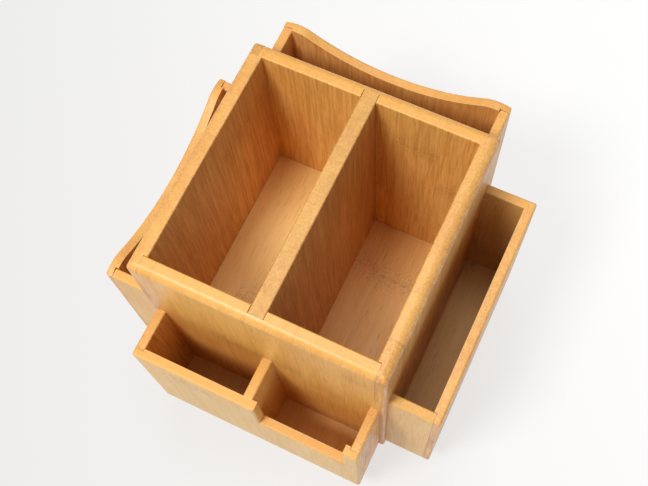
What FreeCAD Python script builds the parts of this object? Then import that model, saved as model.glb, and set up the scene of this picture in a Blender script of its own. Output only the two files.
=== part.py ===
import FreeCAD, Part
import Sketcher
import math
import os
import re

# Bamboo desk caddy that turns on a low stand. Millimetres, +Z up.
# The origin is on the table, on the turning axis. -Y is the side of the divided front tray,
# +X the side of the long open tray, -X and +Y the sides of the two pockets with curved tops.

sizes = {
    # core box, with a divider and one raised floor
    "core_side": 120.5,  # outside, the same both ways
    "core_height": 140.0,
    "core_panel": 7.5,
    "core_rounding": 4.0,  # outer top edges
    "core_corner_rounding": 1.5,  # upright corners
    "core_rabbet": 2.0,  # depth of the side panels' end rabbets
    "divider_thickness": 7.5,
    "divider_housing": 4.0,  # how far the divider is let into the front and back panels
    "core_floor_thickness": 5.0,
    "raised_floor_top": 41.0,
    "raised_floor_thickness": 5.0,
    "raised_floor_housing": 3.0,
    # trays and pockets around the core
    "tray_projection": 24.5,
    "tray_length": 115.0,
    "tray_wall": 4.8,
    "tray_rabbet": 1.5,
    "tray_floor_thickness": 5.0,
    "tray_rounding": 1.2,
    "right_tray_height": 96.0,
    "front_tray_height": 84.0,
    "notch_height": 54.5,  # height of the front wall where it is cut down
    "notch_shoulder": 2.5,  # full-height stubs left beside the divider and the right wall
    "front_divider_offset": 0.9,  # the front tray's divider stands a little to the right
    "left_pocket_height": 94.0,
    "back_pocket_height": 124.0,
    "left_pocket_dip": 12.0,
    "back_pocket_dip": 13.0,
    "crest_inset": 6.5,  # from a pocket's end to the crest of its top edge
    "crest_radius": 15.0,
    # all boards
    "edge_easing": 0.8,
    "joint_gap": 0.1,
    # stand
    "base_diameter": 150.0,
    "base_thickness": 8.0,
    "base_rounding": 3.0,
    "access_bore": 9.0,  # screwdriver hole for the upper plate's screws
    "foot_diameter": 14.0,
    "foot_height": 2.5,
    "foot_circle": 124.0,
    "foot_rounding": 0.8,
    # turntable bearing
    "bearing_height": 7.0,
    "plate_side": 76.0,
    "plate_thickness": 1.0,
    "plate_corner": 6.0,
    "plate_dish": 1.4,  # how far the middle of a plate is pressed up
    "dish_diameter": 60.0,
    "dish_slope": 1.5,
    "dish_bend": 0.4,
    "race_diameter": 44.0,
    "race_width": 6.0,
    "race_underside": 0.6,  # the race is pressed back down to this level
    "ball_diameter": 4.0,
    "ball_count": 24.0,
    "rivet_diameter": 10.0,
    "rivet_wall": 1.0,
    "rivet_flange": 3.0,
    "flange_thickness": 0.8,
    "running_gap": 0.3,
    # pan head screws
    "screw_pitch": 61.0,  # side of the square of screws in a plate
    "screw_diameter": 2.9,
    "screw_length": 5.0,
    "screw_head_diameter": 5.6,
    "screw_head_height": 1.7,
    "recess_length": 3.0,
    "recess_width": 0.7,
}

derived = {
    "caddy_bottom": "foot_height + base_thickness + bearing_height",
    "base_top": "foot_height + base_thickness",
    "core_half": "core_side / 2",
    "inside_half": "core_side / 2 - core_panel",
    "tray_reach": "core_side / 2 + tray_projection",
    "tray_depth": "tray_projection - tray_wall",
    "screw_circle": "screw_pitch * sqrt(2)",
    "crest_drop": "crest_radius - sqrt(crest_radius ^ 2 - crest_inset ^ 2)",
    "crest_reach": "tray_length / 2 - crest_inset",
}

turns = {0: ("{x}", "{y}"), 90: ("-({y})", "{x}"), 180: ("-({x})", "-({y})"), 270: ("{y}", "-({x})")}

tolerance = 1e-4  # for finding edges by their place
least_cut = 0.01  # mm3; a cut that takes less has missed

corners = ((1, 1), (-1, 1), (-1, -1), (1, -1))
sides = ((1, 0), (0, 1), (-1, 0), (0, -1))

doc = FreeCAD.newDocument("desk_caddy")
nodes = []


def spell_out(text):
    """Replaces the derived names in a formula by what they stand for."""
    while any(re.search(rf"\b{name}\b", text) for name in derived):
        for name, meaning in derived.items():
            text = re.sub(rf"\b{name}\b", f"({meaning})", text)
    return text


def formula(text):
    """The formula as a document expression that reads the sheet."""
    return re.sub(r"[a-z]\w+", lambda word: "sizes." * (word[0] in sizes) + word[0], spell_out(text))


def number(text):
    """The present value of a formula."""
    values = re.sub(r"[a-z]\w+", lambda word: str(sizes.get(word[0], word[0])), spell_out(text))
    return FreeCAD.Units.Quantity(values).Value


def make_sheet():
    sheet = doc.addObject("Spreadsheet::Sheet", "sizes")
    for row, (alias, value) in enumerate(sizes.items(), start=1):
        sheet.set(f"A{row}", alias)
        sheet.set(f"B{row}", str(value))
        sheet.setAlias(f"B{row}", alias)
    doc.recompute()


def place(item, corner, turn=0):
    """Puts an item's own origin at a corner that is given before the turn about the upright axis."""
    x, y = (side.format(x=corner[0], y=corner[1]) for side in turns[turn])
    item.Placement = FreeCAD.Placement(FreeCAD.Vector(), FreeCAD.Rotation(FreeCAD.Vector(0, 0, 1), turn))
    for axis, text in zip("xyz", (x, y, corner[2])):
        item.setExpression(f"Placement.Base.{axis}", formula(text))


def new_body(label, is_node=True):
    body = doc.addObject("PartDesign::Body", label)
    body.Label = label
    if is_node:
        nodes.append(body)
    return body


def new_sketch(body, plane, offset="0"):
    """A sketch on one of the body's own origin planes, moved off it along its normal."""
    sketch = body.newObject("Sketcher::SketchObject", body.Label + "_sketch")
    support = [item for item in body.Origin.OriginFeatures if item.Role == plane + "_Plane"]
    sketch.AttachmentSupport = [(support[0], "")]
    sketch.MapMode = "FlatFace"
    sketch.setExpression("AttachmentOffset.Base.z", formula(offset))
    return sketch


def fix_point(sketch, edge, end, point):
    """Ties a sketch point to its two coordinates."""
    for kind, text, axis in (("DistanceX", point[0], -2), ("DistanceY", point[1], -1)):
        if text == "0":
            sketch.addConstraint(Sketcher.Constraint("PointOnObject", edge, end, axis))
        else:
            sketch.addConstraint(Sketcher.Constraint(kind, -1, 1, edge, end, number(text)))
            sketch.setExpression(f"Constraints[{sketch.ConstraintCount - 1}]", formula(text))


def add_outline(sketch, points):
    """A closed outline of straight lines through points given as pairs of formulas."""
    first = sketch.GeometryCount
    places = [FreeCAD.Vector(number(x), number(y), 0) for x, y in points]
    for index, start in enumerate(places):
        sketch.addGeometry(Part.LineSegment(start, places[(index + 1) % len(places)]))
    for index, point in enumerate(points):
        before = first + (index - 1) % len(points)
        sketch.addConstraint(Sketcher.Constraint("Coincident", before, 2, first + index, 1))
        fix_point(sketch, first + index, 1, point)


def box_outline(low, high):
    return [low, (high[0], low[1]), high, (low[0], high[1])]


def add_circle(sketch, centre, diameter):
    middle = FreeCAD.Vector(number(centre[0]), number(centre[1]), 0)
    index = sketch.addGeometry(Part.Circle(middle, FreeCAD.Vector(0, 0, 1), number(diameter) / 2))
    fix_point(sketch, index, 3, centre)
    sketch.addConstraint(Sketcher.Constraint("Diameter", index, number(diameter)))
    sketch.setExpression(f"Constraints[{sketch.ConstraintCount - 1}]", formula(diameter))


def pad(body, sketch, length, is_reversed=False):
    feature = body.newObject("PartDesign::Pad", body.Label + "_pad")
    feature.Profile = sketch
    feature.Reversed = is_reversed
    feature.setExpression("Length", formula(length))
    doc.recompute()
    return feature


def pocket(body, sketch, depth=None, is_reversed=False):
    """Cuts a sketch to a depth, or through everything, and makes sure that it cut something."""
    before = body.Tip.Shape.Volume
    feature = body.newObject("PartDesign::Pocket", body.Label + "_pocket")
    feature.Profile = sketch
    feature.Reversed = is_reversed
    if depth is None:
        feature.Type = "ThroughAll"
    else:
        feature.setExpression("Length", formula(depth))
    doc.recompute()
    if body.Tip.Shape.Volume > before - least_cut:
        raise RuntimeError(f"{body.Label}: a pocket cut nothing")


def revolve(body, points):
    """Turns an outline of radii and heights about the body's upright axis."""
    sketch = new_sketch(body, "XZ")
    add_outline(sketch, points)
    feature = body.newObject("PartDesign::Revolution", body.Label + "_turned")
    feature.Profile = sketch
    feature.ReferenceAxis = (sketch, ["V_Axis"])
    feature.Angle = 360
    doc.recompute()


def edges_on(shape, sides):
    """Names of the edges that lie on all the given sides of the shape's box."""
    box = shape.BoundBox
    limits = {
        "left": ("x", box.XMin), "right": ("x", box.XMax), "front": ("y", box.YMin),
        "back": ("y", box.YMax), "bottom": ("z", box.ZMin), "top": ("z", box.ZMax),
    }

    def lies_on(edge, side):
        axis, level = limits[side]
        points = [edge.valueAt(edge.FirstParameter), edge.valueAt(edge.LastParameter)]
        return all(abs(getattr(point, axis) - level) < tolerance for point in points)

    return [
        f"Edge{index}"
        for index, edge in enumerate(shape.Edges, start=1)
        if all(lies_on(edge, side) for side in sides)
    ]


def add_fillet(body, radius, names):
    """Rounds the named edges of the body's last feature."""
    base = body.Tip
    feature = body.newObject("PartDesign::Fillet", body.Label + "_rounding")
    feature.Base = (base, names)
    feature.setExpression("Radius", formula(radius))
    doc.recompute()
    if not feature.isValid() or feature.Shape.isNull():
        raise RuntimeError(f"{body.Label}: a rounding failed")


def fillet(body, radius, corners):
    """Rounds the edges that lie on all the sides of each group, as the body is drawn."""
    names = [name for sides in corners for name in edges_on(body.Tip.Shape, sides)]
    add_fillet(body, radius, sorted(set(names), key=names.index))


def fillet_rim(body, radius, is_rim):
    """Rounds the round edges that pass a test."""
    names = [
        f"Edge{index}"
        for index, edge in enumerate(body.Tip.Shape.Edges, start=1)
        if hasattr(edge.Curve, "Radius") and is_rim(edge)
    ]
    add_fillet(body, radius, names)


def board(label, plane, size, corner, turn=0):
    """A board drawn on its face: size is width, height and thickness, corner its lowest corner."""
    body = new_body(label)
    sketch = new_sketch(body, plane)
    add_outline(sketch, box_outline(("0", "0"), size[:2]))
    pad(body, sketch, size[2], is_reversed=plane == "XZ")
    place(body, corner, turn)
    return body


def end_rabbets(body, plane_width, thickness, depth, width):
    """Cuts a rabbet up each end of a board that stands on the XZ plane, on its inner (back) side."""
    sketch = new_sketch(body, "XY")
    step = f"{thickness} - {depth}"
    add_outline(sketch, box_outline(("0", step), (width, thickness)))
    add_outline(sketch, box_outline((f"{plane_width} - {width}", step), (plane_width, thickness)))
    pocket(body, sketch, is_reversed=True)


def side_panel(label, turn):
    """A core panel that runs the full depth; drawn as the front one and turned into place."""
    size = ("core_side", "core_height", "core_panel")
    body = board(label, "XZ", size, ("-core_half", "-core_half", "caddy_bottom"), turn)
    fillet(body, "core_rounding", [("top", "front"), ("top", "left"), ("top", "right")])
    fillet(body, "core_corner_rounding", [("front", "left"), ("front", "right")])
    end_rabbets(body, "core_side", "core_panel", "core_rabbet", "core_panel")
    fillet(body, "edge_easing", [("top", "back")])
    return body


def cross_panel(label, turn):
    """A core panel between the side panels, with an upright housing for the divider."""
    half = "inside_half + core_rabbet - joint_gap"
    width = f"2 * ({half})"
    body = board(
        label, "XZ", (width, "core_height", "core_panel"), (f"-({half})", "-core_half", "caddy_bottom"), turn
    )
    fillet(body, "core_rounding", [("top", "front")])
    fillet(body, "edge_easing", [("top", "back")])
    sketch = new_sketch(body, "XY")
    slot = "divider_thickness / 2 + joint_gap"
    low = (f"{half} - ({slot})", "core_panel - divider_housing - joint_gap")
    add_outline(sketch, box_outline(low, (f"{half} + {slot}", "core_panel")))
    pocket(body, sketch, is_reversed=True)


def stopped_groove(body, plane, offset, length, bottom):
    """The groove that holds one long edge of the raised floor, in a board of a length and a bottom level."""
    sketch = new_sketch(body, plane, offset)
    start = f"({length}) / 2 - inside_half"
    level = f"raised_floor_top - {bottom}"
    low = (start, f"{level} - raised_floor_thickness - joint_gap")
    add_outline(sketch, box_outline(low, (f"{start} + 2 * inside_half", f"{level} + joint_gap")))
    pocket(body, sketch, "raised_floor_housing", is_reversed=True)


def make_core():
    left = side_panel("core_left_panel", 270)
    side_panel("core_right_panel", 90)
    cross_panel("core_front_panel", 0)
    cross_panel("core_back_panel", 180)
    stopped_groove(left, "XZ", "-core_panel", "core_side", "0")

    length = "2 * (inside_half + divider_housing)"
    divider = board(
        "core_divider", "YZ", (length, "core_height - core_floor_thickness", "divider_thickness"),
        ("-divider_thickness / 2", "-inside_half - divider_housing", "caddy_bottom + core_floor_thickness"),
    )
    fillet(divider, "edge_easing", [("top", "left"), ("top", "right")])
    stopped_groove(divider, "YZ", "0", length, "core_floor_thickness")

    start = "-inside_half + joint_gap"
    side = "2 * (inside_half - joint_gap)"
    floor = board("core_floor", "XY", (side, side, "core_floor_thickness"), (start, start, "caddy_bottom"))
    middle = "inside_half - joint_gap"
    sketch = new_sketch(floor, "XY")
    for x, y in sides:
        hole = (f"{middle} + {x} * screw_circle / 2", f"{middle} + {y} * screw_circle / 2")
        add_circle(sketch, hole, "screw_diameter + joint_gap")
    pocket(floor, sketch, "screw_length - plate_thickness + joint_gap", is_reversed=True)

    board(
        "raised_floor", "XY",
        (
            "inside_half - divider_thickness / 2 + 2 * (raised_floor_housing - joint_gap)",
            "2 * (inside_half - joint_gap)",
            "raised_floor_thickness",
        ),
        (
            "-inside_half - raised_floor_housing + joint_gap",
            "-inside_half + joint_gap",
            "caddy_bottom + raised_floor_top - raised_floor_thickness",
        ),
    )


def curved_wall(label, height, dip, turn):
    """A pocket's outer wall: its top edge has a crest near each end and a long dip between them."""
    body = new_body(label)
    sketch = new_sketch(body, "XZ")
    length, inset, crest = number("tray_length"), number("crest_inset"), number("crest_radius")
    dip_radius = f"(crest_reach ^ 2 + {dip} ^ 2) / (2 * {dip}) - crest_radius"
    sag = number(dip_radius)
    crest_level = number(height) - crest
    end_level = number(height) - number("crest_drop")
    end_angle = math.acos(inset / crest)
    join_angle = math.atan2(sag + crest - number(dip), -number("crest_reach"))

    ends = [FreeCAD.Vector(x, y, 0) for x, y in ((0, end_level), (0, 0), (length, 0), (length, end_level))]
    left, bottom, right = (sketch.addGeometry(Part.LineSegment(*ends[i:i + 2])) for i in range(3))

    def add_arc(x, y, radius, start, stop):
        circle = Part.Circle(FreeCAD.Vector(x, y, 0), FreeCAD.Vector(0, 0, 1), radius)
        return sketch.addGeometry(Part.ArcOfCircle(circle, start, stop))

    def measure(kind, *ends, text):
        sketch.addConstraint(Sketcher.Constraint(kind, *ends, number(text)))
        sketch.setExpression(f"Constraints[{sketch.ConstraintCount - 1}]", formula(text))

    right_crest = add_arc(length - inset, crest_level, crest, end_angle, join_angle)
    dip_level = number(height) - number(dip) + sag
    dip_arc = add_arc(length / 2, dip_level, sag, 2 * math.pi - join_angle, math.pi + join_angle)
    left_crest = add_arc(inset, crest_level, crest, math.pi - join_angle, math.pi - end_angle)

    for rule in (
        ("Coincident", left, 2, bottom, 1),
        ("Coincident", bottom, 2, right, 1),
        ("Coincident", right, 2, right_crest, 1),
        ("Coincident", left, 1, left_crest, 2),
        ("Tangent", right_crest, 2, dip_arc, 2),
        ("Tangent", left_crest, 1, dip_arc, 1),
        ("Vertical", left),
        ("Vertical", right),
        ("Horizontal", bottom),
    ):
        sketch.addConstraint(Sketcher.Constraint(*rule))
    fix_point(sketch, bottom, 1, ("0", "0"))
    measure("DistanceX", -1, 1, bottom, 2, text="tray_length")
    for arc, x in ((right_crest, "tray_length - crest_inset"), (left_crest, "crest_inset")):
        measure("Radius", arc, text="crest_radius")
        fix_point(sketch, arc, 3, (x, f"{height} - crest_radius"))
    measure("Radius", dip_arc, text=dip_radius)

    pad(body, sketch, "tray_wall", is_reversed=True)
    place(body, ("-tray_length / 2", "-tray_reach", "caddy_bottom"), turn)
    return body


def finish_outer_wall(body):
    """Rounds a tray's outer wall on its outer side and rabbets it for the side walls."""
    outline = [("front",), ("top", "left"), ("top", "right"), ("bottom", "left"), ("bottom", "right")]
    fillet(body, "tray_rounding", outline)
    end_rabbets(body, "tray_length", "tray_wall", "tray_rabbet", "tray_wall")


def cut_notch(body):
    """The front wall is cut down between a stub at the divider and one at the right wall."""
    sketch = new_sketch(body, "XZ")
    start = "tray_length / 2 + front_divider_offset + tray_wall / 2 + notch_shoulder"
    low = (start, "notch_height")
    high = ("tray_length - tray_wall - notch_shoulder", "front_tray_height + tray_wall")
    add_outline(sketch, box_outline(low, high))
    pocket(body, sketch)


def make_tray(name, turn, ends, height, outer="outer_wall", dip=None):
    """A tray against one side of the core, drawn at the front and turned into place.

    ends names the side walls that stand at its low and high end before the turn.
    """
    if dip:
        wall = curved_wall(f"{name}_{outer}", height, dip, turn)
    else:
        corner = ("-tray_length / 2", "-tray_reach", "caddy_bottom")
        wall = board(f"{name}_{outer}", "XZ", ("tray_length", height, "tray_wall"), corner, turn)
    if name == "front_tray":
        cut_notch(wall)
    finish_outer_wall(wall)

    side_height = f"{height} - ({derived['crest_drop']})" if dip else height
    reach = "tray_depth + tray_rabbet - joint_gap"
    for end, outside in zip(ends, ("left", "right")):
        start = "-tray_length / 2" if outside == "left" else "tray_length / 2 - tray_wall"
        corner = (start, f"-core_half - ({reach})", "caddy_bottom")
        wall = board(f"{name}_{end}", "YZ", (reach, side_height, "tray_wall"), corner, turn)
        fillet(wall, "tray_rounding", [("top", outside), ("bottom", outside)])
        fillet(wall, "edge_easing", [("top", "right" if outside == "left" else "left")])

    floor_width = "tray_length - 2 * (tray_wall + joint_gap)"
    board(
        f"{name}_floor", "XY", (floor_width, "tray_depth - joint_gap", "tray_floor_thickness"),
        (f"-({floor_width}) / 2", "-core_half - (tray_depth - joint_gap)", "caddy_bottom"), turn,
    )


def make_trays():
    make_tray("front_tray", 0, ("left_wall", "right_wall"), "front_tray_height", outer="front_wall")
    divider = board(
        "front_tray_divider", "YZ", ("tray_depth", "front_tray_height - tray_floor_thickness", "tray_wall"),
        (
            "front_divider_offset - tray_wall / 2",
            "-core_half - tray_depth",
            "caddy_bottom + tray_floor_thickness",
        ),
    )
    fillet(divider, "edge_easing", [("top", "left"), ("top", "right")])
    make_tray("right_tray", 90, ("front_wall", "back_wall"), "right_tray_height")
    make_tray("back_pocket", 180, ("right_wall", "left_wall"), "back_pocket_height", dip="back_pocket_dip")
    make_tray("left_pocket", 270, ("back_wall", "front_wall"), "left_pocket_height", dip="left_pocket_dip")


def make_base():
    """The round board of the stand, bored for the lower plate's screws and for the screwdriver."""
    base = new_body("base")
    disc = new_sketch(base, "XY")
    add_circle(disc, ("0", "0"), "base_diameter")
    pad(base, disc, "base_thickness")
    fillet_rim(base, "base_rounding", lambda edge: True)

    access = new_sketch(base, "XY")
    add_circle(access, ("screw_circle / 2", "0"), "access_bore")
    pocket(base, access, is_reversed=True)
    pilots = new_sketch(base, "XY", "base_thickness")
    for x, y in corners:
        add_circle(pilots, (f"{x} * screw_pitch / 2", f"{y} * screw_pitch / 2"), "screw_diameter + joint_gap")
    pocket(base, pilots, "screw_length - plate_thickness + joint_gap")
    place(base, ("0", "0", "foot_height"))


def make_plate(label, bore, groove_gap):
    """A pressed bearing plate: a square sheet whose round middle stands up and carries half the ball race."""
    plate = new_body(label)
    half, middle = "plate_side / 2", "dish_diameter / 2"
    sheet = new_sketch(plate, "XY")
    add_outline(sheet, box_outline((f"-{half}", f"-{half}"), (half, half)))
    pad(plate, sheet, "plate_thickness")
    fillet(plate, "plate_corner", [(a, b) for a in ("left", "right") for b in ("front", "back")])
    opening = new_sketch(plate, "XY")
    add_circle(opening, ("0", "0"), "dish_diameter + plate_thickness")
    for x, y in corners:
        hole = (f"{x} * screw_pitch / 2", f"{y} * screw_pitch / 2")
        add_circle(opening, hole, "screw_diameter + running_gap")
    pocket(plate, opening, is_reversed=True)

    race = "race_diameter / 2"
    flat, top = "plate_thickness", "plate_dish + plate_thickness"
    under, dish = "race_underside", "plate_dish"
    press = "plate_dish - race_underside"
    revolve(plate, [
        (bore, dish),
        (f"{race} - race_width / 2", dish),
        (f"{race} - race_width / 2 + {press}", under),
        (f"{race} + race_width / 2 - ({press})", under),
        (f"{race} + race_width / 2", dish),
        (f"{middle} - dish_slope", dish),
        (middle, "0"),
        (f"{middle} + {flat}", "0"),
        (f"{middle} + {flat}", flat),
        (f"{middle} + dish_bend", flat),
        (f"{middle} - dish_slope + dish_bend", top),
        (bore, top),
    ])

    section = new_sketch(plate, "XZ")
    add_circle(section, (race, "bearing_height / 2"), f"ball_diameter + 2 * {groove_gap}")
    before = plate.Tip.Shape.Volume
    groove = plate.newObject("PartDesign::Groove", label + "_race")
    groove.Profile = section
    groove.ReferenceAxis = (section, ["V_Axis"])
    groove.Angle = 360
    doc.recompute()
    if plate.Tip.Shape.Volume > before - least_cut:
        raise RuntimeError(f"{label}: the race cut nothing")
    return plate


def repeat(label, master, places):
    """One node of separate copies of a master shape, each at its own three coordinates."""
    copies = []
    for index, (x, y, z, flip) in enumerate(places, start=1):
        copy = doc.addObject("App::Link", f"{label}_{index}")
        copy.LinkedObject = master
        copy.Placement = FreeCAD.Placement(FreeCAD.Vector(), FreeCAD.Rotation(FreeCAD.Vector(1, 0, 0), flip))
        for axis, text in zip("xyz", (x, y, z)):
            copy.setExpression(f"Placement.Base.{axis}", formula(text))
        copies.append(copy)
    group = doc.addObject("Part::Compound", label)
    group.Label = label
    group.Links = copies
    nodes.append(group)


def make_screw():
    """A pan head screw that points down, with its head's seat at its origin."""
    screw = new_body("screw", is_node=False)
    radius, head = "screw_diameter / 2", "screw_head_diameter / 2"
    revolve(screw, [
        ("0", "-screw_length"),
        (radius, f"{radius} - screw_length"),
        (radius, "0"),
        (head, "0"),
        (head, "screw_head_height"),
        ("0", "screw_head_height"),
    ])
    top = number("screw_head_height") - tolerance
    fillet_rim(screw, "screw_head_height / 2", lambda edge: edge.BoundBox.ZMin > top)
    for length, width in (("recess_length", "recess_width"), ("recess_width", "recess_length")):
        recess = new_sketch(screw, "XY", "screw_head_height")
        low, high = (f"-{length} / 2", f"-{width} / 2"), (f"{length} / 2", f"{width} / 2")
        add_outline(recess, box_outline(low, high))
        pocket(screw, recess, "screw_head_height / 2")
    return screw


def make_turntable():
    make_base()
    foot = new_body("foot", is_node=False)
    revolve(foot, box_outline(("0", "0"), ("foot_diameter / 2", "foot_height")))
    fillet_rim(foot, "foot_rounding", lambda edge: edge.BoundBox.ZMax < tolerance)
    diagonal = "foot_circle / 2 * sqrt(0.5)"
    repeat("feet", foot, [(f"{x} * {diagonal}", f"{y} * {diagonal}", "0", 0) for x, y in corners])

    lower = make_plate("lower_bearing_plate", "rivet_diameter / 2 + joint_gap", "joint_gap")
    place(lower, ("0", "0", "base_top"))
    upper = make_plate("upper_bearing_plate", "rivet_diameter / 2 + running_gap", "running_gap")
    place(upper, ("0", "0", "caddy_bottom"))
    turned_over = FreeCAD.Rotation(FreeCAD.Vector(1, 0, 0), 180)
    upper.Placement.Rotation = FreeCAD.Rotation(FreeCAD.Vector(0, 0, 1), 45).multiply(turned_over)

    ball = doc.addObject("Part::Sphere", "ball")
    ball.setExpression("Radius", formula("ball_diameter / 2"))
    count = int(number("ball_count"))
    angles = [2 * math.pi * index / count for index in range(count)]
    repeat("bearing_balls", ball, [
        (
            f"{math.cos(angle):.9f} * race_diameter / 2",
            f"{math.sin(angle):.9f} * race_diameter / 2",
            "base_top + bearing_height / 2",
            0,
        )
        for angle in angles
    ])

    rivet = new_body("bearing_rivet")
    inner, outer = "rivet_diameter / 2 - rivet_wall", "rivet_diameter / 2"
    rim = "rivet_diameter / 2 + rivet_flange"
    low_seat = "plate_dish - joint_gap"
    high_seat = "bearing_height - plate_dish + running_gap"
    low_end, high_end = f"{low_seat} - flange_thickness", f"{high_seat} + flange_thickness"
    revolve(rivet, [
        (inner, low_end), (rim, low_end), (rim, low_seat), (outer, low_seat),
        (outer, high_seat), (rim, high_seat), (rim, high_end), (inner, high_end),
    ])
    place(rivet, ("0", "0", "base_top"))

    screw = make_screw()
    half = "screw_pitch / 2"
    repeat("lower_plate_screws", screw, [
        (f"{x} * {half}", f"{y} * {half}", "base_top + plate_thickness", 0) for x, y in corners
    ])
    repeat("upper_plate_screws", screw, [
        (f"{x} * screw_circle / 2", f"{y} * screw_circle / 2", "caddy_bottom - plate_thickness", 180)
        for x, y in sides
    ])


def check_and_write():
    doc.recompute()
    for item in doc.Objects:
        if "Invalid" in item.State or "Error" in item.State:
            raise RuntimeError(f"{item.Name} could not be made: {item.State}")
    os.makedirs("parts", exist_ok=True)
    for node in nodes:
        shape = node.Shape
        if shape.isNull() or not shape.isValid() or shape.Volume <= 0:
            raise RuntimeError(f"{node.Label} has no valid shape")
    for node in nodes:
        box = node.Shape.BoundBox
        node.Shape.exportStep(f"parts/{node.Label}.step")
        limits = [round(value, 1) for value in (box.XMin, box.YMin, box.ZMin, box.XMax, box.YMax, box.ZMax)]
        print(f"{node.Label}: {len(node.Shape.Solids)} solid, {node.Shape.Volume:.0f} mm3, {limits}")


make_sheet()
make_core()
make_trays()
make_turntable()
check_and_write()
print(f"{len(nodes)} nodes")
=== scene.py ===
import math

import bpy
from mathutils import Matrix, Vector


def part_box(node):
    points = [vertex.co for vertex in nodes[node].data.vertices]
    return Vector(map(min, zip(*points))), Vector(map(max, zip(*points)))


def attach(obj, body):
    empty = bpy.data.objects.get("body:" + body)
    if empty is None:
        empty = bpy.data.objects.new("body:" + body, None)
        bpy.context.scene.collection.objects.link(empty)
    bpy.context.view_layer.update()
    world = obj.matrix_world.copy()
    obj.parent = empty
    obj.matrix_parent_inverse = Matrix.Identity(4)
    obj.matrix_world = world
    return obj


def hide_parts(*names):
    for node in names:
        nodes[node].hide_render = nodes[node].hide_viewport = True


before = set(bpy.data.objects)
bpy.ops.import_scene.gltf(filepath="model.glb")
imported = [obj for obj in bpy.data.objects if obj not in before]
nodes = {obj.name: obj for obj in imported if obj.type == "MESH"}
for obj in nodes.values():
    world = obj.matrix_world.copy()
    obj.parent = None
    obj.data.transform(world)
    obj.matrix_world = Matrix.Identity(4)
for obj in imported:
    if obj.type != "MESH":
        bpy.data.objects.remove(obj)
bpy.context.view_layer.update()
bpy.ops.object.select_all(action="DESELECT")
print("frame loaded,", len(nodes), "pieces")

cameraLook = {
    "location": (0.09089, -0.14042, 0.53548),
    "turn": (21.1155, 2.6837, 25.6587),  # degrees
    "lens": 54.135,
    "sensor": 36.0,
}

bpy.ops.object.camera_add(
    location=cameraLook["location"],
    rotation=[math.radians(angle) for angle in cameraLook["turn"]],
)
camera = bpy.context.object
camera.data.sensor_width = cameraLook["sensor"]
camera.data.lens = cameraLook["lens"]
bpy.context.scene.camera = camera

# each light: place, aim, width, watts, colour
lights = {
    "keyLight": ((-0.30, -0.62, 1.29), (0.0, 0.0, 0.1), 0.42, 13.6, (1.0, 0.985, 0.96)),
    "topLight": ((-0.1, 0.3, 1.55), (0.0, 0.0, 0.1), 0.6, 6.5, (1.0, 1.0, 1.0)),
}
studio = {
    "worldStrength": 0.3,
    "backdrop": 0.86,  # how bright the air beyond the table looks
    "tableWidth": 9.0,
    "tableColour": 0.22,
    "tableRoughness": 0.9,
    "tableGlow": (0.56, 0.78),  # at the near left and at the far right
    "glowReach": 0.62,
    "glowTowards": (0.707, 0.707, 0.0),
}

for name, (place, aim, width, watts, colour) in lights.items():
    bpy.ops.object.light_add(type="AREA", location=place)
    light = bpy.context.object
    light.name = name
    light.data.shape = "DISK"
    light.data.size = width
    light.data.energy = watts
    light.data.color = colour
    light.rotation_euler = (Vector(aim) - Vector(place)).to_track_quat("-Z", "Y").to_euler()

world = bpy.data.worlds.new("studio")
bpy.context.scene.world = world
world.use_nodes = True
background = world.node_tree.nodes["Background"]
background.inputs["Color"].default_value = (1.0, 1.0, 1.0, 1.0)
bpy.context.scene.view_settings.view_transform = "Standard"


def addNode(tree, kind, **settings):
    node = tree.nodes.new(kind)
    for key, value in settings.items():
        setattr(node, key, value)
    return node


def feed(tree, socket, source):
    # a socket takes a link or a plain value
    if isinstance(source, bpy.types.NodeSocket):
        tree.links.new(source, socket)
    else:
        socket.default_value = source


def maths(tree, operation, *values):
    node = addNode(tree, "ShaderNodeMath", operation=operation)
    for socket, value in zip(node.inputs, values):
        feed(tree, socket, value)
    return node.outputs[0]


def product(tree, first, second):
    return maths(tree, "MULTIPLY", first, second)


def vectorMaths(tree, operation, *values):
    node = addNode(tree, "ShaderNodeVectorMath", operation=operation)
    for socket, value in zip(node.inputs, values):
        feed(tree, socket, value)
    return node.outputs["Value" if operation == "DOT_PRODUCT" else "Vector"]


def noise(tree, place, scale, detail=2.0, roughness=0.5):
    node = addNode(tree, "ShaderNodeTexNoise")
    settings = {"Vector": place, "Scale": scale, "Detail": detail, "Roughness": roughness}
    for label, value in settings.items():
        feed(tree, node.inputs[label], value)
    return node.outputs["Fac"]


def stretched(tree, place, across, along):
    # noise on this runs in streaks down the grain
    return vectorMaths(tree, "MULTIPLY", place, (across, across, along))


def ranged(tree, value, low, high, outLow=0.0, outHigh=1.0):
    node = addNode(tree, "ShaderNodeMapRange", interpolation_type="SMOOTHSTEP")
    for socket, number in zip(node.inputs, (value, low, high, outLow, outHigh)):
        feed(tree, socket, number)
    return node.outputs["Result"]


def mixed(tree, amount, first, second):
    node = addNode(tree, "ShaderNodeMix", data_type="RGBA", blend_type="MIX")
    colours = [socket for socket in node.inputs if socket.type == "RGBA"]
    feed(tree, node.inputs[0], amount)
    feed(tree, colours[0], first)
    feed(tree, colours[1], second)
    return next(socket for socket in node.outputs if socket.type == "RGBA")


def opaque(colour):
    return (*colour, 1.0)


def newGroup(name, inputs, outputs):
    tree = bpy.data.node_groups.new(name, "ShaderNodeTree")
    for label, kind, value in inputs:
        socket = tree.interface.new_socket(label, in_out="INPUT", socket_type="NodeSocket" + kind)
        if value is not None:
            socket.default_value = value
    for label, kind in outputs:
        tree.interface.new_socket(label, in_out="OUTPUT", socket_type="NodeSocket" + kind)
    return tree, tree.nodes.new("NodeGroupInput").outputs, tree.nodes.new("NodeGroupOutput").inputs


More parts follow.
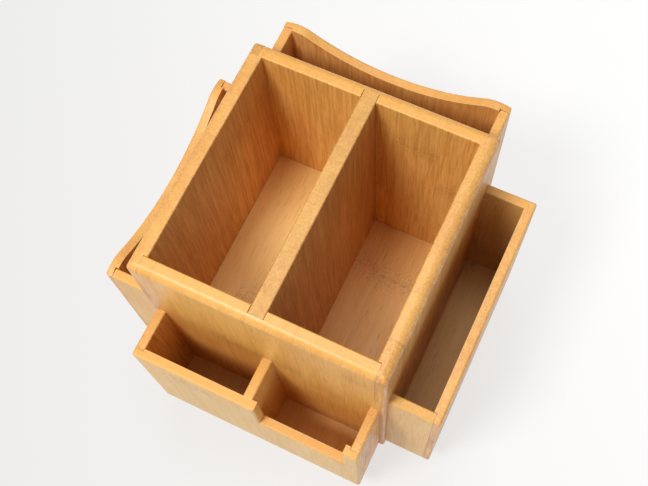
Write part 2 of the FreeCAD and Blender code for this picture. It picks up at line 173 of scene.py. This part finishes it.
# the air looks brighter than it lights
air = world.node_tree
seen = addNode(air, "ShaderNodeLightPath").outputs["Is Camera Ray"]
extra = product(air, seen, studio["backdrop"] - studio["worldStrength"])
feed(air, background.inputs["Strength"], maths(air, "ADD", extra, studio["worldStrength"]))
print("camera and lights placed")

# strips glued side by side, streaks down the grain, pores, the cane's rings and glue lines
bambooFigure = {
    # patterns: features per metre across the grain and along it
    "streak": (900.0, 38.0),
    "fibre": (2300.0, 120.0),
    "band": (230.0, 12.0),
    "cloud": (60.0, 16.0),
    "pore": (2600.0, 130.0),
    "ripple": (900.0, 1300.0),
    "wander": (30.0, 22.0),
    # metres
    "wanderReach": 0.0011,
    "ringSpacing": 0.21,
    "ringWidth": 0.0014,
    "ringReach": 0.013,
    "ringBow": 0.0035,
    "glueLine": 0.00012,
    # where a board and its strips are cut from the cane
    "boardShift": (0.371, 0.593, 0.817),
    "stripShift": (0.0, 1.7, 2.3),
    # where a pattern begins to show and where it is full
    "poreFade": (0.62, 0.74),
    "ringFade": (0.35, 0.6),
    "rippleFade": (0.4, 0.65),
    "endFade": (0.55, 0.95),
    "glossFade": (0.2, 0.8),
    # how much each pattern darkens the tone
    "bandShare": 1.1,
    "cloudShare": 1.0,
    "fibreShare": 0.9,
    "deepest": 1.15,
    # how much of the ring colour each mark takes
    "poreMark": 0.3,
    "ringMark": 0.22,
    "rippleMark": 0.3,
    "glueMark": 0.2,
    "endDeep": 0.6,  # how much of the figure still shows on end grain
    "gloss": (0.34, 0.5),  # roughness between the streaks and on them
    # heights, as shares of the bump
    "poreDent": 0.6,
    "ringDent": 0.8,
    "fibreRise": 0.35,
}


def streaks(tree, place, name, detail, roughness=0.5):
    return noise(tree, stretched(tree, place, *bambooFigure[name]), 1.0, detail, roughness)


def makeBambooGroup():
    tree, given, result = newGroup(
        "bambooFigure",
        [
            ("Place", "Vector", None),
            ("Facing", "Vector", None),
            ("Seed", "Float", 0.0),
            ("Strip Width", "Float", 0.022),
            ("Pale", "Color", (0.8, 0.5, 0.2, 1.0)),
            ("Deep", "Color", (0.6, 0.3, 0.08, 1.0)),
            ("End Grain", "Color", (0.85, 0.5, 0.2, 1.0)),
            ("Ring", "Color", (0.3, 0.12, 0.03, 1.0)),
            ("Strip Contrast", "Float", 0.5),
            ("Streak Contrast", "Float", 0.5),
        ],
        [("Color", "Color"), ("Roughness", "Float"), ("Height", "Float")],
    )
    look = bambooFigure
    boardShift = vectorMaths(tree, "MULTIPLY", given["Seed"], look["boardShift"])
    moved = vectorMaths(tree, "ADD", given["Place"], boardShift)
    axes = addNode(tree, "ShaderNodeSeparateXYZ")
    feed(tree, axes.inputs[0], moved)
    inStrips = maths(tree, "DIVIDE", axes.outputs["X"], given["Strip Width"])
    draw = addNode(tree, "ShaderNodeTexWhiteNoise", noise_dimensions="2D")
    pair = addNode(tree, "ShaderNodeCombineXYZ")
    feed(tree, pair.inputs["X"], maths(tree, "FLOOR", inStrips))
    feed(tree, pair.inputs["Y"], given["Seed"])
    feed(tree, draw.inputs["Vector"], pair.outputs[0])
    drawn = addNode(tree, "ShaderNodeSeparateColor")
    feed(tree, drawn.inputs[0], draw.outputs["Color"])
    stripTone = draw.outputs["Value"]

    # each strip was cut from another place on the cane
    jump = vectorMaths(tree, "MULTIPLY", drawn.outputs["Green"], look["stripShift"])
    place = vectorMaths(tree, "ADD", moved, jump)
    reach = look["wanderReach"]
    wander = vectorMaths(tree, "MULTIPLY", addWander(tree, place), (reach, reach, 0.0))
    wavy = vectorMaths(tree, "ADD", place, wander)
    cloud = streaks(tree, place, "cloud", 2.0)
    ripple = streaks(tree, place, "ripple", 2.0, 0.6)
    streak = streaks(tree, wavy, "streak", 3.0, 0.68)
    fibre = streaks(tree, wavy, "fibre", 2.0, 0.6)
    band = streaks(tree, wavy, "band", 2.0)
    pore = ranged(tree, streaks(tree, wavy, "pore", 1.0), *look["poreFade"])

    # a ring runs round the cane at each joint, bowed and broken by the streaks
    along = addNode(tree, "ShaderNodeSeparateXYZ")
    feed(tree, along.inputs[0], wavy)
    bowed = maths(tree, "ADD", along.outputs["Z"], product(tree, streak, look["ringBow"]))
    turns = maths(tree, "FRACT", maths(tree, "DIVIDE", bowed, look["ringSpacing"]))
    offRing = maths(tree, "ABSOLUTE", maths(tree, "SUBTRACT", turns, 0.5))
    fromRing = product(tree, offRing, look["ringSpacing"])
    onRing = ranged(tree, fromRing, 0.0, look["ringWidth"], 1.0, 0.0)
    ring = product(tree, onRing, ranged(tree, streak, *look["ringFade"]))
    nearRing = ranged(tree, fromRing, 0.0, look["ringReach"], 1.0, 0.0)
    ringShade = product(tree, nearRing, ranged(tree, ripple, *look["rippleFade"]))

    fromMiddle = maths(tree, "SUBTRACT", maths(tree, "FRACT", inStrips), 0.5)
    offMiddle = maths(tree, "ABSOLUTE", fromMiddle)
    fromGlue = product(tree, maths(tree, "SUBTRACT", 0.5, offMiddle), given["Strip Width"])
    glue = ranged(tree, fromGlue, 0.0, look["glueLine"], 1.0, 0.0)

    tone = 0.5
    for part, share in (
        (stripTone, given["Strip Contrast"]),
        (streak, given["Streak Contrast"]),
        (band, look["bandShare"]),
        (cloud, look["cloudShare"]),
        (fibre, look["fibreShare"]),
    ):
        tone = maths(tree, "ADD", tone, product(tree, maths(tree, "SUBTRACT", part, 0.5), share))
    tone = maths(tree, "MAXIMUM", maths(tree, "MINIMUM", tone, look["deepest"]), 0.0)
    sideColour = mixed(tree, tone, given["Pale"], given["Deep"])
    endColour = mixed(tree, product(tree, tone, look["endDeep"]), given["End Grain"], given["Deep"])
    facing = addNode(tree, "ShaderNodeSeparateXYZ")
    feed(tree, facing.inputs[0], given["Facing"])
    atEnd = ranged(tree, maths(tree, "ABSOLUTE", facing.outputs["Z"]), *look["endFade"])
    colour = mixed(tree, atEnd, sideColour, endColour)
    marks = {"poreMark": pore, "ringMark": ring, "rippleMark": ringShade, "glueMark": glue}
    for name, mark in marks.items():
        colour = mixed(tree, product(tree, mark, look[name]), colour, given["Ring"])
    feed(tree, result["Color"], colour)
    gloss = ranged(tree, streak, *look["glossFade"], *look["gloss"])
    feed(tree, result["Roughness"], gloss)
    dents = maths(tree, "MAXIMUM", product(tree, ring, look["ringDent"]), glue)
    dents = maths(tree, "MAXIMUM", product(tree, pore, look["poreDent"]), dents)
    raised = product(tree, fibre, look["fibreRise"])
    feed(tree, result["Height"], maths(tree, "SUBTRACT", raised, dents))
    return tree


def addWander(tree, place):
    node = addNode(tree, "ShaderNodeTexNoise")
    feed(tree, node.inputs["Vector"], stretched(tree, place, *bambooFigure["wander"]))
    node.inputs["Scale"].default_value = 1.0
    node.inputs["Detail"].default_value = 1.0
    return vectorMaths(tree, "SUBTRACT", node.outputs["Color"], (0.5, 0.5, 0.5))


# handling polishes the arrises pale, and painted shade darkens the joints and inner corners
wearAndShadeLook = {
    "patches": 55.0,  # per metre
    "edgeFade": (1.0, 0.86),  # the cosine across the arris, from flat to worn
    "patchFade": (0.3, 0.65),
    "jointShadeFade": (0.62, 0.2),  # how open the corner is
    # how strongly the painted shade darkens joints and inner corners
    "paintedJointShade": 0.12,
    "polish": 0.15,
    "samples": 6,
}


def makeWearAndShadeGroup():
    tree, given, result = newGroup(
        "edgeWearAndJointShade",
        [
            ("Color", "Color", (0.8, 0.5, 0.2, 1.0)),
            ("Roughness", "Float", 0.4),
            ("Worn Color", "Color", (0.9, 0.65, 0.35, 1.0)),
            ("Joint Shade Color", "Color", (0.2, 0.08, 0.02, 1.0)),
            ("Edge Width", "Float", 0.0009),
            ("Joint Shade Width", "Float", 0.0012),
            ("Wear", "Float", 0.35),
        ],
        [("Color", "Color"), ("Roughness", "Float")],
    )
    look = wearAndShadeLook
    bevel = addNode(tree, "ShaderNodeBevel", samples=look["samples"])
    feed(tree, bevel.inputs["Radius"], given["Edge Width"])
    geometry = addNode(tree, "ShaderNodeNewGeometry")
    facing = vectorMaths(tree, "DOT_PRODUCT", bevel.outputs[0], geometry.outputs["True Normal"])
    spot = addNode(tree, "ShaderNodeTexCoord").outputs["Object"]
    patches = ranged(tree, noise(tree, spot, look["patches"], 3.0), *look["patchFade"])
    edge = product(tree, ranged(tree, facing, *look["edgeFade"]), patches)
    worn = product(tree, edge, given["Wear"])
    # painted shade: ambient occlusion darkens every joint and inner corner towards the joint colour
    hollow = addNode(tree, "ShaderNodeAmbientOcclusion", samples=look["samples"])
    feed(tree, hollow.inputs["Distance"], given["Joint Shade Width"])
    jointShade = ranged(tree, hollow.outputs["AO"], *look["jointShadeFade"])
    colour = mixed(tree, worn, given["Color"], given["Worn Color"])
    colour = mixed(tree, product(tree, jointShade, look["paintedJointShade"]), colour, given["Joint Shade Color"])
    feed(tree, result["Color"], colour)
    polish = product(tree, worn, look["polish"])
    feed(tree, result["Roughness"], maths(tree, "SUBTRACT", given["Roughness"], polish))
    return tree


bambooGroup = makeBambooGroup()
wearAndShadeGroup = makeWearAndShadeGroup()


def placeGroup(tree, group, values):
    node = addNode(tree, "ShaderNodeGroup", node_tree=group)
    for label, value in values.items():
        feed(tree, node.inputs[label], value)
    return node.outputs


# turns that lay a board's own axes on the figure: across, through, along
grains = {
    "uprightAlongX": (0.0, 0.0, 0.0),
    "uprightAlongY": (0.0, 0.0, -90.0),
    "flatFrontToBack": (90.0, 0.0, 0.0),
}
# contrast: between the strips, and of the streaks in them. Besides the golden bamboo, some tones
# are paler or darker copies of it that carry painted light or painted shade
tones = {
    "golden": {
        "pale": (0.88, 0.485, 0.158),
        "deep": (0.64, 0.285, 0.070),
        "endGrain": (0.84, 0.455, 0.125),
        "contrast": (0.45, 3.3),
        "coat": 0.16,
        "specular": 0.36,
    },
    "front": {
        "pale": (0.91, 0.500, 0.132),
        "deep": (0.76, 0.360, 0.070),
        "endGrain": (0.84, 0.455, 0.125),
        "contrast": (0.12, 1.8),
        "coat": 0.16,
        "specular": 0.36,
    },
    # painted light: a paler copy of the golden bamboo for the back panel, whose inner faces stand
    # in the light
    "paintedLitGolden": {
        "pale": (0.96, 0.530, 0.140),
        "deep": (0.76, 0.350, 0.070),
        "endGrain": (0.84, 0.430, 0.105),
        "contrast": (0.35, 3.9),
        "coat": 0.15,
        "specular": 0.35,
    },
    # painted shade: a darker copy of the golden bamboo for the divider, whose right face stands in
    # shade
    "deep": {
        "pale": (0.74, 0.400, 0.140),
        "deep": (0.52, 0.240, 0.068),
        "endGrain": (0.77, 0.410, 0.105),
        "contrast": (0.40, 2.8),
        "coat": 0.15,
        "specular": 0.35,
    },
    "honey": {
        "pale": (0.89, 0.485, 0.160),
        "deep": (0.68, 0.310, 0.080),
        "endGrain": (0.84, 0.440, 0.120),
        "contrast": (0.35, 2.9),
        "coat": 0.18,
        "specular": 0.38,
    },
    # painted light: a paler copy of the bamboo for the tray walls that face the front and for inner
    # tray walls that stand in shade
    "paintedLitCream": {
        "pale": (0.86, 0.550, 0.190),
        "deep": (0.76, 0.430, 0.125),
        "endGrain": (0.82, 0.420, 0.105),
        "contrast": (0.35, 1.0),
        "coat": 0.10,
        "specular": 0.28,
    },
    # painted light: the floor tone is paler than the walls, for the light that falls on the
    # up-facing floors
    "floor": {
        "pale": (0.96, 0.600, 0.225),
        "deep": (0.87, 0.490, 0.160),
        "endGrain": (0.80, 0.440, 0.150),
        "contrast": (0.20, 0.9),
        "coat": 0.0,
        "specular": 0.22,
    },
    # painted light: a still paler copy of the floor tone for the raised floor, for the light that
    # falls on it
    "raised": {
        "pale": (0.98, 0.650, 0.230),
        "deep": (0.94, 0.570, 0.190),
        "endGrain": (0.80, 0.440, 0.150),
        "contrast": (0.15, 0.7),
        "coat": 0.0,
        "specular": 0.25,
    },
}
finish = {
    "ring": (0.26, 0.095, 0.025),
    "worn": (0.92, 0.66, 0.36),
    # colour of the painted shade in joints and inner corners
    "jointShade": (0.16, 0.06, 0.018),
    "coatRoughness": 0.28,
    "bump": 0.00012,
    "bumpStrength": 0.6,
    "stripWidth": 0.022,
}


def bambooMaterial(name, grain, tone, seed):
    material = bpy.data.materials.new(name)
    material.use_nodes = True
    tree = material.node_tree
    shader = tree.nodes["Principled BSDF"]
    spot = addNode(tree, "ShaderNodeTexCoord")
    turn = addNode(tree, "ShaderNodeMapping")
    face = addNode(tree, "ShaderNodeMapping", vector_type="NORMAL")
    for node, output in ((turn, "Object"), (face, "Normal")):
        node.inputs["Rotation"].default_value = [math.radians(angle) for angle in grains[grain]]
        feed(tree, node.inputs["Vector"], spot.outputs[output])
    look = tones[tone]
    stripContrast, streakContrast = look["contrast"]
    figure = placeGroup(tree, bambooGroup, {
        "Place": turn.outputs["Vector"],
        "Facing": face.outputs["Vector"],
        "Seed": seed,
        "Strip Width": finish["stripWidth"],
        "Pale": opaque(look["pale"]),
        "Deep": opaque(look["deep"]),
        "End Grain": opaque(look["endGrain"]),
        "Ring": opaque(finish["ring"]),
        "Strip Contrast": stripContrast,
        "Streak Contrast": streakContrast,
    })
    wearAndShade = placeGroup(tree, wearAndShadeGroup, {
        "Color": figure["Color"],
        "Roughness": figure["Roughness"],
        "Worn Color": opaque(finish["worn"]),
        "Joint Shade Color": opaque(finish["jointShade"]),
    })
    bump = addNode(tree, "ShaderNodeBump")
    bump.inputs["Strength"].default_value = finish["bumpStrength"]
    bump.inputs["Distance"].default_value = finish["bump"]
    feed(tree, bump.inputs["Height"], figure["Height"])
    feed(tree, shader.inputs["Base Color"], wearAndShade["Color"])
    feed(tree, shader.inputs["Roughness"], wearAndShade["Roughness"])
    feed(tree, shader.inputs["Normal"], bump.outputs["Normal"])
    shader.inputs["Specular IOR Level"].default_value = look["specular"]
    shader.inputs["Coat Weight"].default_value = look["coat"]
    shader.inputs["Coat Roughness"].default_value = finish["coatRoughness"]
    return material


# each board: grain, tone, seed; some tones are lit or shaded copies of the bamboo that carry
# painted light or painted shade
boards = {
    "core_left_panel": ("uprightAlongY", "golden", 3.0),
    "core_right_panel": ("uprightAlongY", "golden", 8.0),
    "core_front_panel": ("uprightAlongX", "front", 6.0),
    "core_back_panel": ("uprightAlongX", "paintedLitGolden", 12.0),
    "core_divider": ("uprightAlongY", "deep", 14.0),
    "core_floor": ("flatFrontToBack", "floor", 21.0),
    "raised_floor": ("flatFrontToBack", "raised", 24.0),
    "front_tray_front_wall": ("uprightAlongX", "paintedLitCream", 31.0),
    "front_tray_left_wall": ("uprightAlongY", "golden", 32.0),
    "front_tray_right_wall": ("uprightAlongY", "golden", 33.0),
    "front_tray_divider": ("uprightAlongY", "paintedLitCream", 34.0),
    "front_tray_floor": ("flatFrontToBack", "floor", 35.0),
    "right_tray_outer_wall": ("uprightAlongY", "golden", 41.0),
    "right_tray_front_wall": ("uprightAlongX", "paintedLitCream", 42.0),
    "right_tray_back_wall": ("uprightAlongX", "paintedLitCream", 43.0),
    "right_tray_floor": ("flatFrontToBack", "floor", 44.0),
    "back_pocket_outer_wall": ("uprightAlongX", "honey", 51.0),
    "back_pocket_left_wall": ("uprightAlongY", "honey", 52.0),
    "back_pocket_right_wall": ("uprightAlongY", "golden", 53.0),
    "back_pocket_floor": ("flatFrontToBack", "floor", 54.0),
    "left_pocket_outer_wall": ("uprightAlongY", "golden", 61.0),
    "left_pocket_front_wall": ("uprightAlongX", "paintedLitCream", 62.0),
    "left_pocket_back_wall": ("uprightAlongX", "golden", 63.0),
    "left_pocket_floor": ("flatFrontToBack", "floor", 64.0),
    "base": ("flatFrontToBack", "golden", 71.0),
}
for name, look in boards.items():
    board = nodes[name].data
    board.materials.clear()
    board.materials.append(bambooMaterial(name + "_bamboo", *look))
print("boards finished,", len(boards))

# fine scratches and dull patches on anything plated or moulded
scuffLook = {
    "patchFade": (0.35, 0.68),
    "scratches": (4000.0, 160.0, 900.0),  # per metre
    "scratchFade": (0.62, 0.72),
    "patchRise": 0.4,
}


def makeScuffGroup():
    tree, given, result = newGroup(
        "scuffs",
        [
            ("Color", "Color", (0.6, 0.6, 0.6, 1.0)),
            ("Dull Color", "Color", (0.4, 0.4, 0.4, 1.0)),
            ("Smooth", "Float", 0.25),
            ("Rough", "Float", 0.5),
            ("Patch Scale", "Float", 300.0),
        ],
        [("Color", "Color"), ("Roughness", "Float"), ("Height", "Float")],
    )
    spot = addNode(tree, "ShaderNodeTexCoord").outputs["Object"]
    dull = noise(tree, spot, given["Patch Scale"], 4.0, 0.65)
    patch = ranged(tree, dull, *scuffLook["patchFade"])
    lines = noise(tree, vectorMaths(tree, "MULTIPLY", spot, scuffLook["scratches"]), 1.0, 2.0)
    scratch = ranged(tree, lines, *scuffLook["scratchFade"])
    feed(tree, result["Color"], mixed(tree, patch, given["Color"], given["Dull Color"]))
    worn = maths(tree, "MAXIMUM", patch, scratch)
    rough = product(tree, worn, maths(tree, "SUBTRACT", given["Rough"], given["Smooth"]))
    feed(tree, result["Roughness"], maths(tree, "ADD", given["Smooth"], rough))
    raised = product(tree, patch, scuffLook["patchRise"])
    feed(tree, result["Height"], maths(tree, "SUBTRACT", raised, scratch))
    return tree


scuffGroup = makeScuffGroup()
# colour, dull colour, smooth, rough, patch scale, metallic, bump height
hardFinishes = {
    "zincPlate": ((0.62, 0.63, 0.64), (0.47, 0.47, 0.46), 0.24, 0.42, 260.0, 1.0, 0.00003),
    "greasedSteel": ((0.58, 0.58, 0.59), (0.40, 0.38, 0.33), 0.08, 0.22, 500.0, 1.0, 0.00001),
    "screwSteel": ((0.66, 0.64, 0.58), (0.45, 0.43, 0.38), 0.22, 0.40, 700.0, 1.0, 0.00002),
    "blackRubber": ((0.022, 0.022, 0.023), (0.045, 0.044, 0.042), 0.62, 0.85, 420.0, 0.0, 0.00008),
}


def hardMaterial(name):
    colour, dull, smooth, rough, scale, metallic, height = hardFinishes[name]
    material = bpy.data.materials.new(name)
    material.use_nodes = True
    tree = material.node_tree
    shader = tree.nodes["Principled BSDF"]
    scuffs = placeGroup(tree, scuffGroup, {
        "Color": opaque(colour),
        "Dull Color": opaque(dull),
        "Smooth": smooth,
        "Rough": rough,
        "Patch Scale": scale,
    })
    bump = addNode(tree, "ShaderNodeBump")
    bump.inputs["Distance"].default_value = height
    feed(tree, bump.inputs["Height"], scuffs["Height"])
    feed(tree, shader.inputs["Base Color"], scuffs["Color"])
    feed(tree, shader.inputs["Roughness"], scuffs["Roughness"])
    feed(tree, shader.inputs["Normal"], bump.outputs["Normal"])
    shader.inputs["Metallic"].default_value = metallic
    return material


hardMaterials = {name: hardMaterial(name) for name in hardFinishes}
keptHardware = {
    "lower_bearing_plate": "zincPlate",
    "upper_bearing_plate": "zincPlate",
    "bearing_rivet": "zincPlate",
    "bearing_balls": "greasedSteel",
}
for name, finishName in keptHardware.items():
    nodes[name].data.materials.clear()
    nodes[name].data.materials.append(hardMaterials[finishName])
print("bearing finished")


# a face within about 25 degrees of straight up or down
flat = 0.9
# edges that turn more than this stay crisp
smoothAngle = math.radians(35.0)


def pickFaces(piece, test):
    bpy.ops.object.mode_set(mode="EDIT")
    bpy.ops.mesh.select_mode(type="FACE")
    bpy.ops.mesh.select_all(action="DESELECT")
    bpy.ops.object.mode_set(mode="OBJECT")
    for face in piece.data.polygons:
        face.select = test(face.normal)
    bpy.ops.object.mode_set(mode="EDIT")


def applied(piece, kind, **settings):
    modifier = piece.modifiers.new(kind.lower(), kind)
    for key, value in settings.items():
        setattr(modifier, key, value)
    bpy.ops.object.modifier_apply(modifier=modifier.name)


def onlyThis(*pieces):
    bpy.ops.object.select_all(action="DESELECT")
    for piece in pieces:
        piece.select_set(True)
    bpy.context.view_layer.objects.active = pieces[0]


def settle(piece):
    # the place goes into the mesh
    onlyThis(piece)
    bpy.ops.object.transform_apply(location=True, rotation=True, scale=True)


def copiesOf(piece, name, spots):
    # a spot is a place and whether the copy hangs upside down
    copies = []
    for place, isTurned in spots:
        onlyThis(piece)
        bpy.ops.object.duplicate()
        copy = bpy.context.object
        copy.rotation_euler = (math.pi if isTurned else 0.0, 0.0, 0.0)
        copy.location = place
        settle(copy)
        copies.append(copy)
    onlyThis(*copies)
    bpy.ops.object.join()
    joined = bpy.context.object
    joined.name = name
    joined.data.name = name
    bpy.ops.object.shade_smooth_by_angle(angle=smoothAngle)
    return joined


def drop(piece):
    onlyThis(piece)
    bpy.ops.object.delete()


# pads with a hollow underside that grips like a sucker
footLook = {
    "width": 0.014,
    "lip": 0.0022,
    "hollow": 0.0016,
    "hollowTaper": 0.72,
    "dome": 0.00045,
    "edge": 0.0006,
    "edgeSteps": 3,
    "edgeAngle": math.radians(40.0),
    "sides": 48,
}

low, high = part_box("feet")
footHeight = high.z - low.z
footReach = high.x - footLook["width"] / 2
footPlaces = [(x * footReach, y * footReach, 0.0) for x in (-1, 1) for y in (-1, 1)]
bpy.ops.object.select_all(action="DESELECT")
bpy.ops.mesh.primitive_cylinder_add(
    vertices=footLook["sides"],
    radius=footLook["width"] / 2,
    depth=footHeight,
    location=(0.0, 0.0, footHeight / 2),
)
foot = bpy.context.object
settle(foot)
pickFaces(foot, lambda normal: normal.z < -flat)
bpy.ops.mesh.inset(thickness=footLook["lip"])
bpy.ops.mesh.extrude_region_move(TRANSFORM_OT_translate={"value": (0.0, 0.0, footLook["hollow"])})
bpy.ops.transform.resize(value=(footLook["hollowTaper"], footLook["hollowTaper"], 1.0))
bpy.ops.mesh.inset(thickness=footLook["lip"] / 2)
bpy.ops.transform.translate(value=(0.0, 0.0, -footLook["dome"]))
bpy.ops.object.mode_set(mode="OBJECT")
applied(
    foot,
    "BEVEL",
    width=footLook["edge"],
    segments=footLook["edgeSteps"],
    limit_method="ANGLE",
    angle_limit=footLook["edgeAngle"],
)
rubberFeet = copiesOf(foot, "rubberFeet", [(place, False) for place in footPlaces])
drop(foot)
rubberFeet.data.materials.append(hardMaterials["blackRubber"])
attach(rubberFeet, "stand")
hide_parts("feet")
print("feet finished")

# pan head screws with a cross recess and a rolled thread
screwLook = {
    "headWidth": 0.0056,
    "headHeight": 0.0017,
    "headSides": 32,
    "dome": 0.0008,
    "domeSteps": 5,
    "shankWidth": 0.0029,
    "shankSides": 20,
    "length": 0.005,
    "intoHead": 0.0003,
    "tip": 0.0014,
    "tipTaper": 0.25,
    "threadPitch": 0.0009,
    "threadDepth": 0.00028,
    "threadTurns": 3,
    "threadSteps": 16,  # in a turn
    "threadStart": 0.3,  # of a pitch above the taper
    "sliver": 0.00001,  # anything finer is cleaned away
    "plate": 0.001,  # the sheet that the heads press on
    "recess": (0.003, 0.0007, 0.0009),
    "recessTaper": 0.7,
}

bpy.ops.object.select_all(action="DESELECT")
bpy.ops.mesh.primitive_cylinder_add(
    vertices=screwLook["headSides"],
    radius=screwLook["headWidth"] / 2,
    depth=screwLook["headHeight"],
    location=(0.0, 0.0, screwLook["headHeight"] / 2),
)
head = bpy.context.object
settle(head)
pickFaces(head, lambda normal: normal.z > flat)
bpy.ops.mesh.bevel(offset=screwLook["dome"], segments=screwLook["domeSteps"], affect="EDGES")
bpy.ops.object.mode_set(mode="OBJECT")
length, width, depth = screwLook["recess"]
for angle in (0.0, 90.0):
    bpy.ops.mesh.primitive_cube_add(size=1.0, location=(0.0, 0.0, screwLook["headHeight"]))
    cutter = bpy.context.object
    cutter.scale = (length, width, 2 * depth)
    cutter.rotation_euler = (0.0, 0.0, math.radians(angle))
    settle(cutter)
    pickFaces(cutter, lambda normal: normal.z < -flat)
    bpy.ops.transform.resize(value=(screwLook["recessTaper"], screwLook["recessTaper"], 1.0))
    bpy.ops.object.mode_set(mode="OBJECT")
    onlyThis(head)
    applied(head, "BOOLEAN", operation="DIFFERENCE", object=cutter, solver="EXACT")
    drop(cutter)

coreWidth = screwLook["shankWidth"] - 2 * screwLook["threadDepth"]
plain = screwLook["length"] - screwLook["tip"]
shankDepth = plain + screwLook["intoHead"]
bpy.ops.mesh.primitive_cylinder_add(
    vertices=screwLook["shankSides"],
    radius=coreWidth / 2,
    depth=shankDepth,
    location=(0.0, 0.0, screwLook["intoHead"] - shankDepth / 2),
)
shank = bpy.context.object
settle(shank)
pickFaces(shank, lambda normal: normal.z < -flat)
bpy.ops.mesh.extrude_region_move(TRANSFORM_OT_translate={"value": (0.0, 0.0, -screwLook["tip"])})
bpy.ops.transform.resize(value=(screwLook["tipTaper"], screwLook["tipTaper"], 1.0))
bpy.ops.object.mode_set(mode="OBJECT")

# a three-cornered ring wound up the shank
bpy.ops.mesh.primitive_circle_add(
    vertices=3,
    radius=screwLook["threadDepth"],
    fill_type="NOTHING",
    location=(coreWidth / 2, 0.0, screwLook["threadStart"] * screwLook["threadPitch"] - plain),
    rotation=(math.pi / 2, math.pi / 2, 0.0),
)
thread = bpy.context.object
settle(thread)
applied(
    thread,
    "SCREW",
    axis="Z",
    angle=math.tau,
    screw_offset=screwLook["threadPitch"],
    iterations=screwLook["threadTurns"],
    steps=screwLook["threadSteps"],
    render_steps=screwLook["threadSteps"],
)
bpy.ops.object.mode_set(mode="EDIT")
bpy.ops.mesh.select_all(action="SELECT")
bpy.ops.mesh.fill_holes(sides=3)
bpy.ops.mesh.normals_make_consistent(inside=False)
bpy.ops.object.mode_set(mode="OBJECT")
for part in (shank, thread):
    onlyThis(head)
    applied(head, "BOOLEAN", operation="UNION", object=part, solver="EXACT")
    drop(part)
onlyThis(head)
bpy.ops.object.mode_set(mode="EDIT")
bpy.ops.mesh.select_all(action="SELECT")
bpy.ops.mesh.remove_doubles(threshold=screwLook["sliver"])
bpy.ops.mesh.dissolve_degenerate(threshold=screwLook["sliver"])
bpy.ops.object.mode_set(mode="OBJECT")

# the lower screws stand at the plate's corners, the upper ones hang at the middles of its sides
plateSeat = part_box("lower_bearing_plate")[0].z + screwLook["plate"]
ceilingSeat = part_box("upper_bearing_plate")[1].z - screwLook["plate"]
low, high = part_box("lower_plate_screws")
reach = high.x - screwLook["headWidth"] / 2
corners = [(x, y) for x in (-1, 1) for y in (-1, 1)]
lowerSpots = [((x * reach, y * reach, plateSeat), False) for x, y in corners]
low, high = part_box("upper_plate_screws")
reach = high.x - screwLook["headWidth"] / 2
middles = ((-1, 0), (1, 0), (0, -1), (0, 1))
upperSpots = [((x * reach, y * reach, ceilingSeat), True) for x, y in middles]
for name, spots, node, body in (
    ("lowerScrews", lowerSpots, "lower_plate_screws", "stand"),
    ("upperScrews", upperSpots, "upper_plate_screws", "caddy"),
):
    screws = copiesOf(head, name, spots)
    screws.data.materials.append(hardMaterials["screwSteel"])
    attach(screws, body)
    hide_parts(node)
drop(head)
print("screws finished")

bpy.ops.mesh.primitive_plane_add(size=studio["tableWidth"])
table = bpy.context.object
table.name = "table"
paint = bpy.data.materials.new("paleTable")
paint.use_nodes = True
tree = paint.node_tree
shader = tree.nodes["Principled BSDF"]
shader.inputs["Base Color"].default_value = (*[studio["tableColour"]] * 3, 1.0)
shader.inputs["Roughness"].default_value = studio["tableRoughness"]
shader.inputs["Emission Color"].default_value = (1.0, 1.0, 1.0, 1.0)
# painted light: the table glows, brightening evenly from the near left to the far right, and the
# glow thins the shadows cast on it
spot = addNode(tree, "ShaderNodeTexCoord").outputs["Object"]
slope = vectorMaths(tree, "DOT_PRODUCT", spot, studio["glowTowards"])
halfReach = studio["glowReach"] / 2
glow = ranged(tree, slope, -halfReach, halfReach, *studio["tableGlow"])
feed(tree, shader.inputs["Emission Strength"], glow)
# from below the table is clear, so the underside can be looked at
below = addNode(tree, "ShaderNodeNewGeometry").outputs["Backfacing"]
feed(tree, shader.inputs["Alpha"], maths(tree, "SUBTRACT", 1.0, below))
table.data.materials.append(paint)
